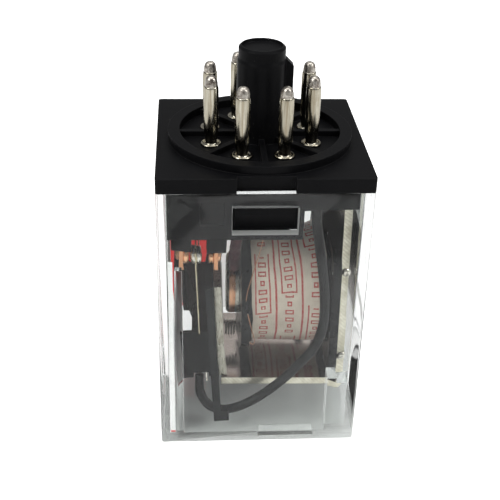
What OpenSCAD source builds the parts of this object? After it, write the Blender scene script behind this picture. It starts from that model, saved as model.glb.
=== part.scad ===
// Octal plug-in relay with a clear cover, standing on the cover's end wall with its pins up.
// +Z points up, away from the end wall, and -Y is the front. The plug's centre line is x = y = 0.

/* [Base moulding] */
// Width of the base plate and the cover, left to right
base_w = 33.6; // [33:0.1:35]
// Depth of the base plate and the cover, front to back
base_d = 32.8; // [32.4:0.1:34]
// Thickness of the base plate
plate_t = 2.4; // [2:0.1:3]
// Outer radius of the raised ring around the pins
ring_r = 15; // [14.4:0.1:15.6]
// Width of the raised ring
ring_w = 1.9; // [1.2:0.1:2.4]
// Height of the raised ring above the plate
ring_h = 1.4; // [0.8:0.1:2]
// Radius of the centre spigot
spigot_r = 3.9; // [3.6:0.05:4]
// Height of the centre spigot above the plate
spigot_h = 15.4; // [14.5:0.1:16]
// Radius from the centre line to the outside of the key
key_r = 5; // [4.6:0.05:5.2]

/* [Plug pins] */
// Number of pins
pin_count = 8; // [8:1:8]
// Diameter of the circle through the pin centres
pin_circle_d = 17.45; // [17.3:0.05:17.6]
// Diameter of a pin
pin_d = 2.36; // [2.2:0.02:2.4]
// Length of a pin above its foot ring
pin_len = 11; // [10:0.1:12]

/* [Cover] */
// Height of the clear cover
cover_h = 48.4; // [48:0.1:50]
// Thickness of the cover's walls
wall_t = 1.45; // [1.2:0.05:1.5]
// Width of the snap window
window_w = 10.2; // [9.6:0.1:11]
// Height of the snap window
window_h = 4.45; // [4.3:0.05:4.6]

/* [Magnet] */
// Height of the coil's axis above the end wall
coil_z = 21.9; // [21.8:0.1:22.2]
// Radius over the printed tape
coil_r = 10; // [9.6:0.1:10]
// Thickness of the iron yoke
yoke_t = 1.25; // [1.2:0.05:1.3]
// Width of the iron yoke, front to back
yoke_w = 19; // [18:0.2:19.6]
// Radius of the core's pole head
pole_r = 4.9; // [4.6:0.1:5.2]

/* [Armature and contacts] */
// Thickness of the armature plate
arm_t = 1.3; // [1.2:0.05:1.3]
// Tilt of the armature when the coil is off
rest_tilt = 3.4; // [3.3:0.05:3.5]
// Distance from the centre line to each pole
pole_y = 8.5; // [8.3:0.1:8.6]
// Diameter of the contact rivets
contact_d = 2.8; // [2.4:0.1:2.9]
// Diameter of a flexible lead over its insulation
lead_d = 1.6; // [1.4:0.1:1.6]

/* [Hidden] */
round_fn = 64;
small_fn = 32;
fit_gap = 0.03;

// Heights
plate_z = cover_h;
deck_z = cover_h + plate_t;
tier_top_z = 44.9;
tier_low_z = 39.8;
holder_low_z = 35;

// Cover and base skirt
inner_w = base_w - 2 * wall_t;
inner_d = base_d - 2 * wall_t;
skirt_gap = 0.12;
skirt_w = inner_w - 2 * skirt_gap;
skirt_d = inner_d - 2 * skirt_gap;
window_z = 41.5;
tab_w = window_w - 0.8;
tab_out = 0.75;
tier_right_x = 6.1;
mark_deep = 0.12;
panel_deep = 0.5;
notch_w = 9;
notch_deep = 1;
post_w = 3.9;
post_d = 3.6;
post_z = 12.6;

// Spigot: a plain tip above the key
spigot_tip_r = spigot_r - 0.17;
spigot_tip_len = 1.6;
key_drop = 2.1;
key_w = 2;

// Pins
foot_h = 0.45;
foot_r = 1.68;
pin_below = 2.9;
pin_stem_d = 1.9;
tip_len = 1.5;
tip_r = 0.98;
pin_step = 360 / pin_count;

// Magnet: the yoke's arm lies under the coil and its upright stands at the right
arm_z = 7.8;
arm_top_z = arm_z + yoke_t;
yoke_left_x = -6.5;
yoke_right_x = 14.75;
upright_x = yoke_right_x - yoke_t;
upright_top_z = 46.2;
upright_slot_w = 12;
shaft_r = 3.5;
stake_r = 2.6;
pole_face_x = -5.36;
pole_t = 2.36;
flange_t = 1.4;
flange_left_x = pole_face_x + pole_t + 0.05;
flange_r = 11;
flange_right_x = upright_x - flange_t - fit_gap;
flange_square = 21.4;
flange_corner = 3;
tube_r = 4.4;
tape_t = 0.28;
winding_left_x = flange_left_x + flange_t + fit_gap;
winding_len = flange_right_x - winding_left_x - fit_gap;
shade_x = pole_face_x + 0.45;
shade_w = 1.2;
shade_out = 0.45;
sleeve_r = 1.15;
sleeve_y = 5.2;
sleeve_x = flange_left_x - sleeve_r - fit_gap;
sleeve_low_z = 27.9;

// Armature: it stands on the yoke's arm and turns about hinge_x, hinge_z
hinge_x = -6.1;
hinge_z = arm_top_z + 0.05;
arm_foot = 0.12;
arm_h = 18;
arm_w = 18;
card_t = 1.3;
card_x = -arm_t / 2 - card_t - fit_gap;
card_half_d = 13.5;
card_leg_d = 0.9;
card_top = 20.9;
card_tail = 6.2;
card_waist = 0.4;
block_left = -7.3;
block_low = 0.8;
block_top = 9.95;
block_half_d = 9.6;
block_wall = 0.6;
arm_rivet_y = 5.6;
arm_rivet_z = 13.2;
spring_x = -10.3;
spring_z = 18.87;
spring_lean = 1.85;
spring_t = 0.2;
spring_w = 3.4;
spring_len = 15.3;
contact_z = 32.8;
contact_h = 0.8;
nc_face_x = -11.76;
no_face_x = -8.69;
strip_t = 0.66;
strip_w = 3.6;
strip_low_z = 31.2;
strip_top_z = 41.8;
head_len = 0.9;
tail_len = 0.6;
holder_w = 3.2;
holder_d = 5.4;
return_r = 1.3;
return_wire = 0.3;
return_turns = 4.5;
return_z = 13;

// The front lead's way from the base to the spring tag under the contact block
lead_route = [
  [8.2, -12.1, 44.75], [8.5, -12.1, 42.6], [8.8, -12.1, 40], [9.2, -12.1, 37.4],
  [9.6, -12.1, 34.6], [10.1, -12.1, 31.4], [10.5, -12.1, 28.2], [10.7, -12.1, 25],
  [10.7, -12.1, 22], [10.2, -12.1, 19.2], [9.1, -12.1, 16.6], [7.4, -12.1, 14.3],
  [5.5, -12.1, 12], [3.4, -12.1, 9.8], [1.2, -12, 7.8], [-1.2, -11.9, 6],
  [-3.6, -11.8, 4.7], [-6, -11.6, 4], [-8, -11.2, 4.2], [-9.4, -10.6, 5.1],
  [-10.2, -9.8, 6.6], [-10.3, -9.1, 8.2], [-10.3, -8.7, 9.6]
];
start_wire_route = [
  [0.6, -10.6, 39.75], [0.4, -10.5, 37.2], [-0.2, -10.4, 34.2], [-0.9, -10.4, 31.6],
  [-1.5, -10.4, 29.2], [-2, -10.5, 27.2], [-2.2, -10.7, 25.6]
];
end_wire_route = [
  [-1.9, -11.2, 23.4], [-1.6, -11.3, 21.8], [-1.2, -11.3, 19.8], [-0.9, -11.3, 18.4],
  [-0.8, -11.2, 17.5], [-1.1, -11.1, 17], [-1.6, -11.1, 17.3]
];

// ---- shared shapes ----

// Plate with round vertical corners, its underside at z = 0
module rounded_plate(w, d, h, r) {
  linear_extrude(h) {
    square([w - 2 * r, d], center = true);
    square([w, d - 2 * r], center = true);
    for (sx = [-1, 1], sy = [-1, 1]) {
      translate([sx * (w / 2 - r), sy * (d / 2 - r)])
        circle(r = r, $fn = small_fn);
    }
  }
}

// Cylinder along +X that starts at x
module x_cylinder(x, y, z, r, len) {
  translate([x, y, z])
    rotate([0, 90, 0])
      cylinder(r = r, h = len, $fn = round_fn);
}

// Box given by its lowest and highest corners
module box(low, high) {
  translate(low)
    cube(high - low);
}

// Puts its children in the armature's tilted place: x = z = 0 is the hinge line
module on_armature() {
  translate([hinge_x, 0, hinge_z])
    rotate([0, -rest_tilt, 0])
      children();
}

// Unit vector across a route, used as the first direction of each ring of the tube
function unit(v) = v / norm(v);
function tangent(p, i) = unit(p[min(i + 1, len(p) - 1)] - p[max(i - 1, 0)]);
function side_of(t, up) = unit(cross(t, up));

// Tube of radius r swept along the points of a route; up must never lie along the route
module swept_tube(p, r, sides, up) {
  n = len(p);
  points = [
    for (i = [0 : n - 1], k = [0 : sides - 1])
      let (t = tangent(p, i), u = side_of(t, up), v = cross(u, t), a = 360 * k / sides)
        p[i] + r * (cos(a) * u + sin(a) * v)
  ];
  walls = [
    for (i = [0 : n - 2], k = [0 : sides - 1])
      let (a = i * sides + k, b = i * sides + (k + 1) % sides)
        [a, a + sides, b + sides, b]
  ];
  start_cap = [for (k = [0 : sides - 1]) k];
  end_cap = [for (k = [0 : sides - 1]) n * sides - 1 - k];
  polyhedron(points = points, faces = concat(walls, [start_cap], [end_cap]), convexity = 10);
}

function mirrored(p) = [for (q = p) [q[0], -q[1], q[2]]];

// ---- base and pins ----

module key_rib() {
  chamfer = 1.1;
  key_top = deck_z + spigot_h - key_drop;
  rotate([90, 0, 0])
    linear_extrude(key_w, center = true)
      polygon([
        [0, deck_z], [key_r, deck_z], [key_r, key_top - chamfer],
        [spigot_r, key_top], [0, key_top]
      ]);
}

module spigot() {
  rim = 0.65;
  recess = 0.5;
  round_top = 0.35;
  taper = 0.5;
  tip_z = deck_z + spigot_h - spigot_tip_len - round_top;
  rotate_extrude($fn = round_fn)
    polygon([
      [0, deck_z], [spigot_r, deck_z], [spigot_r, tip_z - taper], [spigot_tip_r, tip_z],
      [spigot_tip_r, deck_z + spigot_h - round_top],
      [spigot_tip_r - round_top, deck_z + spigot_h], [spigot_r - rim, deck_z + spigot_h],
      [spigot_r - rim - 0.1, deck_z + spigot_h - recess], [0, deck_z + spigot_h - recess]
    ]);
}

module pin_webs() {
  web_w = 0.9;
  web_h = 1;
  for (k = [0 : pin_count - 1]) {
    rotate(k * pin_step)
      translate([spigot_r - 0.5, -web_w / 2, deck_z])
        cube([ring_r - ring_w / 2 - spigot_r + 0.5, web_w, web_h]);
  }
}

module deck() {
  difference() {
    translate([0, 0, plate_z])
      rounded_plate(base_w, base_d, plate_t, 0.5);
    for (s = [-1, 1]) {
      translate([0, s * base_d / 2, plate_z + plate_t / 2])
        cube([notch_w, 2 * notch_deep, plate_t + 1], center = true);
    }
  }
  translate([0, 0, deck_z])
    difference() {
      cylinder(r = ring_r, h = ring_h, $fn = round_fn);
      cylinder(r = ring_r - ring_w, h = ring_h + 1, $fn = round_fn);
    }
}

module snap_tab() {
  tab_low = window_z + 0.5;
  tab_high = window_z + window_h - 0.25;
  root_y = -skirt_d / 2 + 0.4;
  translate([-tab_w / 2, 0, 0])
    rotate([90, 0, 90])
      linear_extrude(tab_w)
        polygon([
          [root_y, tab_low], [-skirt_d / 2, tab_low],
          [-skirt_d / 2 - tab_out, tab_low + 2.4], [-skirt_d / 2 - tab_out, tab_high],
          [root_y, tab_high]
        ]);
}

module contact_holder(x, s) {
  translate([x - holder_w / 2, s * pole_y - holder_d / 2, holder_low_z])
    cube([holder_w, holder_d, tier_low_z - holder_low_z + 0.5]);
}

module strip_slot(x, s) {
  translate([x - fit_gap, s * pole_y - strip_w / 2 - fit_gap, holder_low_z - 1])
    cube([strip_t + 2 * fit_gap, strip_w + 2 * fit_gap, strip_top_z - holder_low_z + 1 + fit_gap]);
}

module base_skirt() {
  lip_h = 0.6;
  // thin lip, then the upper tier, then the lower tier over the contacts
  translate([0, 0, plate_z - lip_h])
    rounded_plate(skirt_w, skirt_d, lip_h, 0.4);
  box([-skirt_w / 2, -skirt_d / 2, tier_top_z], [skirt_w / 2 - 0.6, skirt_d / 2, plate_z]);
  box([-skirt_w / 2, -skirt_d / 2, tier_low_z], [tier_right_x, skirt_d / 2, tier_top_z]);
  // barrier between the two poles
  box([0.4 - skirt_w / 2, -0.6, 31.5], [-12.4, 0.6, tier_low_z + 0.2]);
  for (s = [-1, 1]) {
    contact_holder(nc_face_x - head_len - strip_t / 2, s);
    contact_holder(no_face_x + head_len + strip_t / 2, s);
  }
}

module base() {
  color([0.06, 0.06, 0.07])
    difference() {
      union() {
        deck();
        pin_webs();
        spigot();
        key_rib();
        base_skirt();
        for (s = [0, 1]) {
          mirror([0, s, 0])
            snap_tab();
        }
      }
      for (k = [0 : pin_count - 1]) {
        rotate((k + 0.5) * pin_step)
          translate([pin_circle_d / 2, 0, deck_z - pin_below - fit_gap])
            cylinder(d = pin_stem_d + 2 * fit_gap, h = pin_below + 3, $fn = small_fn);
      }
      for (s = [-1, 1]) {
        strip_slot(nc_face_x - head_len - strip_t, s);
        strip_slot(no_face_x + head_len, s);
      }
      // sunk panel in the front of the skirt
      box([-10, -skirt_d / 2 - 1, 42.3], [-6.3, panel_deep - skirt_d / 2, 46.3]);
      // slot that takes the top of the yoke's upright
      box(
        [upright_x - 0.08, -upright_slot_w / 2 - 0.08, tier_top_z - 1],
        [upright_x + yoke_t + 1, upright_slot_w / 2 + 0.08, upright_top_z + 0.08]
      );
    }
}

module plug_pin(k) {
  angle = -(k - 0.5) * pin_step;
  shank_top = foot_h + pin_len - tip_len;
  color([0.78, 0.75, 0.68])
    rotate(angle)
      translate([pin_circle_d / 2, 0, deck_z])
        union() {
          translate([0, 0, -pin_below])
            cylinder(d = pin_stem_d, h = pin_below + 0.1, $fn = small_fn);
          cylinder(d = pin_d, h = shank_top, $fn = small_fn);
          translate([0, 0, shank_top])
            cylinder(r = tip_r, h = tip_len - tip_r, $fn = small_fn);
          rotate_extrude($fn = round_fn)
            polygon([
              [0, 0], [foot_r - 0.1, 0], [foot_r, 0.12],
              [foot_r - 0.1, foot_h - 0.08], [pin_d / 2 + 0.15, foot_h], [0, foot_h]
            ]);
        }
}

module pin_tip_solder() {
  color([0.72, 0.7, 0.65])
    for (k = [1 : pin_count]) {
      rotate(-(k - 0.5) * pin_step)
        translate([pin_circle_d / 2, 0, deck_z + foot_h + pin_len - tip_r])
          intersection() {
            sphere(r = tip_r, $fn = small_fn);
            cylinder(r = 2 * tip_r, h = tip_r, $fn = small_fn);
          }
    }
}

// ---- cover and labels ----

module corner_post(s) {
  step = 1;
  x1 = inner_w / 2 + 0.2;
  y1 = inner_d / 2 + 0.2;
  difference() {
    box(
      [x1 - post_w, s > 0 ? y1 - post_d : -y1, wall_t - 0.2],
      [x1, s > 0 ? y1 : post_d - y1, post_z]
    );
    translate([x1 - post_w * 0.6, s > 0 ? y1 - post_d - 1 : -y1 - 1, post_z - step])
      cube([post_w, post_d + 2, step + 1]);
  }
}

module cover() {
  rib_x = -14.15;
  rib_w = 1.2;
  rib_out = 1;
  rib_z = 34.3;
  mark_w = 9.6;
  color([0.86, 0.88, 0.88, 0.35])
    difference() {
      union() {
        difference() {
          rounded_plate(base_w, base_d, cover_h, 0.45);
          translate([0, 0, wall_t])
            rounded_plate(inner_w, inner_d, cover_h, 0.3);
        }
        corner_post(-1);
        corner_post(1);
        for (s = [-1, 1]) {
          box(
            [rib_x, s > 0 ? inner_d / 2 - rib_out : -inner_d / 2 - 0.2, wall_t - 0.2],
            [rib_x + rib_w, s > 0 ? inner_d / 2 + 0.2 : rib_out - inner_d / 2, rib_z]
          );
        }
      }
      box(
        [-window_w / 2, -base_d, window_z],
        [window_w / 2, base_d, window_z + window_h]
      );
      // shallow moulding mark in the end wall
      box([0.1, -14.2, -1], [0.1 + mark_w, -12, mark_deep]);
    }
}

module rear_label() {
  label_t = 0.1;
  color([0.93, 0.93, 0.92])
    box([-15.6, base_d / 2, 5.6], [15.6, base_d / 2 + label_t, 39]);
}

// Card inside the left wall, with a lip turned along the front wall
module side_label() {
  label_t = 0.1;
  gap = 0.12;
  lip_w = 0.85;
  low_z = 1.55;
  high_z = 35.8;
  x0 = -inner_w / 2 + gap;
  y0 = -inner_d / 2 + gap;
  color([0.93, 0.93, 0.92])
    union() {
      box([x0, y0, low_z], [x0 + label_t, 13.8, high_z]);
      box([x0, y0, low_z], [x0 + lip_w, y0 + label_t, high_z]);
    }
}

// ---- magnet ----

module yoke_outline() {
  bend_r = 1.6;
  difference() {
    union() {
      translate([yoke_left_x, arm_z])
        square([yoke_right_x - yoke_left_x - bend_r, yoke_t]);
      translate([upright_x, arm_z + bend_r])
        square([yoke_t, tier_top_z - 1.2 - arm_z - bend_r]);
      translate([yoke_right_x - bend_r, arm_z + bend_r])
        circle(r = bend_r, $fn = round_fn);
    }
    translate([upright_x - 2 * bend_r, arm_top_z])
      square(2 * bend_r);
  }
}

module yoke() {
  color([0.72, 0.71, 0.64])
    difference() {
      union() {
        rotate([90, 0, 0])
          linear_extrude(yoke_w, center = true)
            yoke_outline();
        box(
          [upright_x, -upright_slot_w / 2, tier_top_z - 3],
          [yoke_right_x, upright_slot_w / 2, upright_top_z]
        );
      }
      x_cylinder(upright_x - 1, 0, coil_z, stake_r + fit_gap, yoke_t + 2);
      for (s = [-1, 1], z = [12.6, 28.4]) {
        x_cylinder(upright_x - 1, s * 8.1, z, 0.7 + fit_gap, yoke_t + 2);
      }
    }
}

module yoke_rivets() {
  stake_w = 1.2;
  color([0.86, 0.84, 0.78])
    for (s = [-1, 1], z = [12.6, 28.4]) {
      x_cylinder(upright_x - 0.02, s * 8.1, z, 0.7, yoke_t + 0.04);
      x_cylinder(yoke_right_x, s * 8.1, z, 1.1, 0.15);
      // stake that stands out of the upright's edge
      translate([upright_x + yoke_t / 2, s * yoke_w / 2, z + 0.8])
        rotate([-90 * s, 0, 0])
          cylinder(r1 = stake_w / 2, r2 = stake_w / 3, h = 0.35, $fn = small_fn);
    }
}

module core() {
  groove_w = 0.7;
  color([0.76, 0.75, 0.71])
    difference() {
      union() {
        rotate_x_profile([
          [pole_face_x, 0], [pole_face_x, pole_r - 0.4], [pole_face_x + 0.4, pole_r],
          [pole_face_x + pole_t, pole_r], [pole_face_x + pole_t, shaft_r],
          [upright_x - fit_gap, shaft_r], [upright_x - fit_gap, stake_r],
          [yoke_right_x + 0.12, stake_r], [yoke_right_x + 0.12, 0]
        ]);
      }
      // seat of the shading ring on the front half of the pole head
      difference() {
        x_cylinder(shade_x, 0, coil_z, pole_r + 1, shade_w);
        x_cylinder(shade_x - 1, 0, coil_z, pole_r - shade_out, shade_w + 2);
        box([shade_x - 1, 1.2, coil_z - 8], [shade_x + shade_w + 1, 8, coil_z + 8]);
      }
      box(
        [pole_face_x - 1, 1.2, coil_z - pole_r - 1],
        [shade_x + shade_w, 1.2 + groove_w, coil_z + pole_r + 1]
      );
    }
}

// Solid of revolution about the coil's axis; each point is [x, radius]
module rotate_x_profile(profile) {
  translate([0, 0, coil_z])
    rotate([0, 90, 0])
      rotate_extrude($fn = round_fn)
        polygon([for (p = profile) [p[1], p[0]]]);
}

module shading_ring() {
  leg_t = 0.6;
  color([0.72, 0.45, 0.3])
    union() {
      difference() {
        x_cylinder(shade_x + fit_gap, 0, coil_z, pole_r + 0.02, shade_w - 2 * fit_gap);
        x_cylinder(shade_x - 1, 0, coil_z, pole_r - shade_out + fit_gap, shade_w + 2);
        box([shade_x - 1, 1.2 + leg_t, coil_z - 8], [shade_x + shade_w + 1, 8, coil_z + 8]);
      }
      intersection() {
        x_cylinder(shade_x + fit_gap, 0, coil_z, pole_r, shade_w - 2 * fit_gap);
        box(
          [shade_x, 1.2 + fit_gap, coil_z - 8],
          [shade_x + shade_w, 1.2 + leg_t, coil_z + 8]
        );
      }
    }
}

module bobbin() {
  color([0.1, 0.1, 0.11])
    difference() {
      union() {
        x_cylinder(flange_left_x, 0, coil_z, flange_r, flange_t);
        x_cylinder(flange_left_x, 0, coil_z, tube_r, flange_right_x - flange_left_x + 0.5);
        translate([flange_right_x, 0, coil_z - 0.6])
          rotate([90, 0, 90])
            rounded_plate(flange_square, flange_square + 1, flange_t, flange_corner);
      }
      x_cylinder(flange_left_x - 1, 0, coil_z, shaft_r + fit_gap, 30);
    }
}

module coil_winding() {
  color([0.5, 0.24, 0.12])
    difference() {
      x_cylinder(winding_left_x, 0, coil_z, coil_r - tape_t - fit_gap, winding_len);
      x_cylinder(winding_left_x - 1, 0, coil_z, tube_r + fit_gap, winding_len + 2);
    }
}

module coil_tape() {
  color([0.78, 0.73, 0.66])
    difference() {
      x_cylinder(winding_left_x, 0, coil_z, coil_r, winding_len);
      x_cylinder(winding_left_x - 1, 0, coil_z, coil_r - tape_t, winding_len + 2);
    }
}

module coil_sleeve(s) {
  color([0.32, 0.16, 0.18])
    difference() {
      translate([sleeve_x, s * sleeve_y, sleeve_low_z])
        cylinder(r = sleeve_r, h = tier_low_z - sleeve_low_z, $fn = small_fn);
      translate([sleeve_x, s * sleeve_y, sleeve_low_z - 1])
        cylinder(r = 0.35, h = 4, $fn = small_fn);
    }
}

module coil_start_wire() {
  color([0.75, 0.45, 0.25])
    swept_tube(start_wire_route, 0.12, 8, [0, 1, 0]);
}

module coil_end_wire() {
  color([0.75, 0.45, 0.25])
    swept_tube(end_wire_route, 0.12, 8, [0, 1, 0]);
}

// ---- fixed contacts ----

// Strip that hangs from the base, with a hole for its contact rivet
module fixed_strip(x, s) {
  color([0.62, 0.36, 0.24])
    difference() {
      box(
        [x, s * pole_y - strip_w / 2, strip_low_z],
        [x + strip_t, s * pole_y + strip_w / 2, strip_top_z]
      );
      x_cylinder(x - 1, s * pole_y, contact_z, 0.6 + fit_gap, strip_t + 2);
    }
}

// Rivet through a strip; dir = 1 puts the contact head on the strip's right
module fixed_contact(x, s, dir) {
  head_x = dir > 0 ? x + strip_t : x - head_len;
  tail_x = dir > 0 ? x - tail_len : x + strip_t;
  color([0.85, 0.5, 0.28])
    union() {
      x_cylinder(head_x, s * pole_y, contact_z, contact_d / 2, head_len);
      x_cylinder(tail_x, s * pole_y, contact_z, 1.05, tail_len);
      x_cylinder(x - 0.1, s * pole_y, contact_z, 0.6, strip_t + 0.2);
    }
}

// ---- armature and moving contacts ----

module armature() {
  color([0.7, 0.69, 0.62])
    on_armature()
      difference() {
        box([-arm_t / 2, -arm_w / 2, arm_foot], [arm_t / 2, arm_w / 2, arm_h]);
        for (s = [-1, 1]) {
          x_cylinder(-2, s * arm_rivet_y, arm_rivet_z - 6, 0.7 + fit_gap, 4);
          x_cylinder(-2, s * arm_rivet_y, arm_rivet_z, 0.7 + fit_gap, 4);
        }
      }
}

module armature_card() {
  x1 = card_x + card_t;
  toe = 1.3;
  color([0.12, 0.12, 0.13])
    on_armature()
      difference() {
        union() {
          box([card_x, -card_half_d, card_waist], [x1, card_half_d, arm_h + 0.2]);
          for (s = [-1, 1]) {
            leg_y0 = s > 0 ? card_half_d - card_leg_d : -card_half_d;
            // side legs: up past the armature, and down to a toe near the end wall
            box([card_x, leg_y0, -card_tail], [x1, leg_y0 + card_leg_d, card_top]);
            box([card_x, leg_y0, -card_tail], [x1 + toe, leg_y0 + card_leg_d, 2 - card_tail]);
          }
        }
        for (s = [-1, 1]) {
          x_cylinder(-4, s * arm_rivet_y, arm_rivet_z - 6, 0.7 + fit_gap, 6);
          x_cylinder(-4, s * arm_rivet_y, arm_rivet_z, 0.7 + fit_gap, 6);
        }
      }
}

module armature_rivets() {
  color([0.8, 0.79, 0.74])
    on_armature()
      for (s = [-1, 1], z = [arm_rivet_z - 6, arm_rivet_z]) {
        x_cylinder(card_x - 0.02, s * arm_rivet_y, z, 0.7, card_t + arm_t + 0.05);
      }
}

module contact_block() {
  color([0.13, 0.13, 0.14])
    on_armature()
      difference() {
        box(
          [block_left, -block_half_d, block_low],
          [card_x - fit_gap, block_half_d, block_top]
        );
        // open pocket down through the left part of the block
        translate([0, 0, block_low - 1])
          linear_extrude(block_top - block_low + 2)
            polygon([
              [block_left - 1, block_wall - block_half_d], [-4.93, block_wall - block_half_d],
              [-4.93, -2.7], [-3.72, -1], [-6.28, block_half_d - block_wall],
              [block_left - 1, block_half_d - block_wall]
            ]);
        for (s = [-1, 1]) {
          // mouth under the block where the spring tag and the lead's end sit
          box(
            [-5.2, s * pole_y - 1.1, block_low - 1],
            [-2.4, s * pole_y + 1.1, block_low + 0.9]
          );
        }
      }
}

module spring_tag(s) {
  color([0.8, 0.76, 0.62])
    on_armature()
      box(
        [-3, s * pole_y - 0.7, block_low - 1.3],
        [-2.7, s * pole_y + 0.7, block_low + 0.87]
      );
}

// Puts its children in a moving spring's own place: x = z = 0 is its clamped end
module on_spring() {
  translate([spring_x, 0, spring_z])
    rotate([0, -spring_lean, 0])
      children();
}

module moving_spring(s) {
  rivet_z = (contact_z - spring_z) / cos(spring_lean);
  color([0.8, 0.77, 0.66])
    on_spring()
      difference() {
        box([-spring_t / 2, s * pole_y - spring_w / 2, 0], [spring_t / 2, s * pole_y + spring_w / 2, spring_len]);
        x_cylinder(-1, s * pole_y, rivet_z, 0.6 + fit_gap, 2);
      }
}

module moving_contact(s) {
  rivet_z = (contact_z - spring_z) / cos(spring_lean);
  color([0.86, 0.86, 0.84])
    on_spring()
      union() {
        x_cylinder(spring_t / 2, s * pole_y, rivet_z, contact_d / 2 - 0.1, contact_h);
        x_cylinder(-spring_t / 2 - contact_h, s * pole_y, rivet_z, contact_d / 2 - 0.1, contact_h);
        x_cylinder(-spring_t / 2 - 0.1, s * pole_y, rivet_z, 0.6, spring_t + 0.2);
      }
}

// ---- leads and the return spring ----

module flexible_lead_front() {
  color([0.1, 0.1, 0.11])
    swept_tube(lead_route, lead_d / 2, 8, [0, 1, 0]);
}

module flexible_lead_rear() {
  color([0.1, 0.1, 0.11])
    swept_tube(mirrored(lead_route), lead_d / 2, 8, [0, 1, 0]);
}

// Helix about an axis along X, between the armature and the bobbin's flange
function helix_point(u, x0, pitch_len) = [
  x0 + u * pitch_len,
  (return_r - return_wire / 2) * cos(360 * return_turns * u),
  return_z + (return_r - return_wire / 2) * sin(360 * return_turns * u)
];

module return_spring() {
  rings = 54;
  x0 = -5.5;
  x1 = flange_left_x - return_wire / 2 - fit_gap;
  color([0.55, 0.55, 0.52])
    swept_tube([for (i = [0 : rings]) helix_point(i / rings, x0, x1 - x0)], return_wire / 2, 6, [1, 0, 0]);
}

base();
cover();
rear_label();
side_label();
plug_pin(1);  // plug_pin_1
plug_pin(2);  // plug_pin_2
plug_pin(3);  // plug_pin_3
plug_pin(4);  // plug_pin_4
plug_pin(5);  // plug_pin_5
plug_pin(6);  // plug_pin_6
plug_pin(7);  // plug_pin_7
plug_pin(8);  // plug_pin_8
pin_tip_solder();
yoke();
yoke_rivets();
core();
shading_ring();
bobbin();
coil_winding();
coil_tape();
coil_sleeve(-1);  // coil_sleeve_front
coil_sleeve(1);  // coil_sleeve_rear
coil_start_wire();
coil_end_wire();
fixed_strip(nc_face_x - head_len - strip_t, -1);  // nc_strip_front
fixed_strip(nc_face_x - head_len - strip_t, 1);  // nc_strip_rear
fixed_contact(nc_face_x - head_len - strip_t, -1, 1);  // nc_contact_front
fixed_contact(nc_face_x - head_len - strip_t, 1, 1);  // nc_contact_rear
fixed_strip(no_face_x + head_len, -1);  // no_strip_front
fixed_strip(no_face_x + head_len, 1);  // no_strip_rear
fixed_contact(no_face_x + head_len, -1, -1);  // no_contact_front
fixed_contact(no_face_x + head_len, 1, -1);  // no_contact_rear
flexible_lead_front();
flexible_lead_rear();
return_spring();
armature();
armature_card();
contact_block();
armature_rivets();
spring_tag(-1);  // spring_tag_front
spring_tag(1);  // spring_tag_rear
moving_spring(-1);  // moving_spring_front
moving_spring(1);  // moving_spring_rear
moving_contact(-1);  // moving_contact_front
moving_contact(1);  // moving_contact_rear
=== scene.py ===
import math

import bmesh
import bpy
import numpy as np
from mathutils import Matrix, Vector


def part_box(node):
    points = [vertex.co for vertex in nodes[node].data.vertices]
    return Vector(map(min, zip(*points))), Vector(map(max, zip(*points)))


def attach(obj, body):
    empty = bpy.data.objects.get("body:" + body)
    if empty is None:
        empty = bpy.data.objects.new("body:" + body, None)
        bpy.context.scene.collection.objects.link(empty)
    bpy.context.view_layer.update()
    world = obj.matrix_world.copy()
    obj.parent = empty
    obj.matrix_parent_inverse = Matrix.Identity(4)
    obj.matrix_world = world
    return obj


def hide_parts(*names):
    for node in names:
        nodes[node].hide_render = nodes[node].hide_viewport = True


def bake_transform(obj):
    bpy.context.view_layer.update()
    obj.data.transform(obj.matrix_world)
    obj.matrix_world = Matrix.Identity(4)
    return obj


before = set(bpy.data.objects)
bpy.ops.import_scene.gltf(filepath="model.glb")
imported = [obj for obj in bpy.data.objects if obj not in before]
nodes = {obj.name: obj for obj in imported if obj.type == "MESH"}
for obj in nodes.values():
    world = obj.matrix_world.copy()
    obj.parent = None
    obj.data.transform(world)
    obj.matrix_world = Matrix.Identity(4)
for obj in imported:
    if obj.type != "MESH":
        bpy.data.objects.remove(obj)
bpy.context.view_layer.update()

mm = 0.001
print("frame loaded:", len(nodes), "nodes")


# ---------- camera ----------
cameraSet = {
    "place": (-0.012165, -0.145988, 0.114143),
    "look": (0.06573, 0.86221, -0.50227),
    "up": (0.00973, 0.50278, 0.86436),
    "lens": 69.56,
}


def addCamera(v):
    data = bpy.data.cameras.new("camera")
    data.lens = v["lens"]
    data.sensor_width = 36
    data.clip_start, data.clip_end = 0.005, 20
    cam = bpy.data.objects.new("camera", data)
    look, up = Vector(v["look"]).normalized(), Vector(v["up"])
    side = look.cross(up).normalized()
    up = side.cross(look)
    turn = Matrix((side, up, -look)).transposed()
    cam.matrix_world = Matrix.Translation(v["place"]) @ turn.to_4x4()
    bpy.context.scene.collection.objects.link(cam)
    bpy.context.scene.camera = cam


addCamera(cameraSet)


# ---------- mesh helpers ----------
def gridFaces(rows, cols, wrap):
    # quads between neighbouring rows of points; with wrap the last column joins the first
    i = np.arange(rows - 1)[:, None]
    j = np.arange(cols if wrap else cols - 1)[None, :]
    k = (j + 1) % cols
    a, b = i * cols + j, i * cols + k
    return np.stack([a, b, b + cols, a + cols], -1).reshape(-1, 4)


def addPiece(name, points, faces, material, body="root", caps=(), smooth=True):
    # caps are closing n-gons, given as lists of point numbers
    mesh = bpy.data.meshes.new(name)
    mesh.from_pydata(points.reshape(-1, 3).tolist(), [], faces.tolist() + [list(c) for c in caps])
    mesh.polygons.foreach_set("use_smooth", np.full(len(mesh.polygons), smooth))
    mesh.materials.append(material)
    piece = bpy.data.objects.new(name, mesh)
    bpy.context.scene.collection.objects.link(piece)
    if body:
        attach(piece, body)
    return piece


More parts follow.
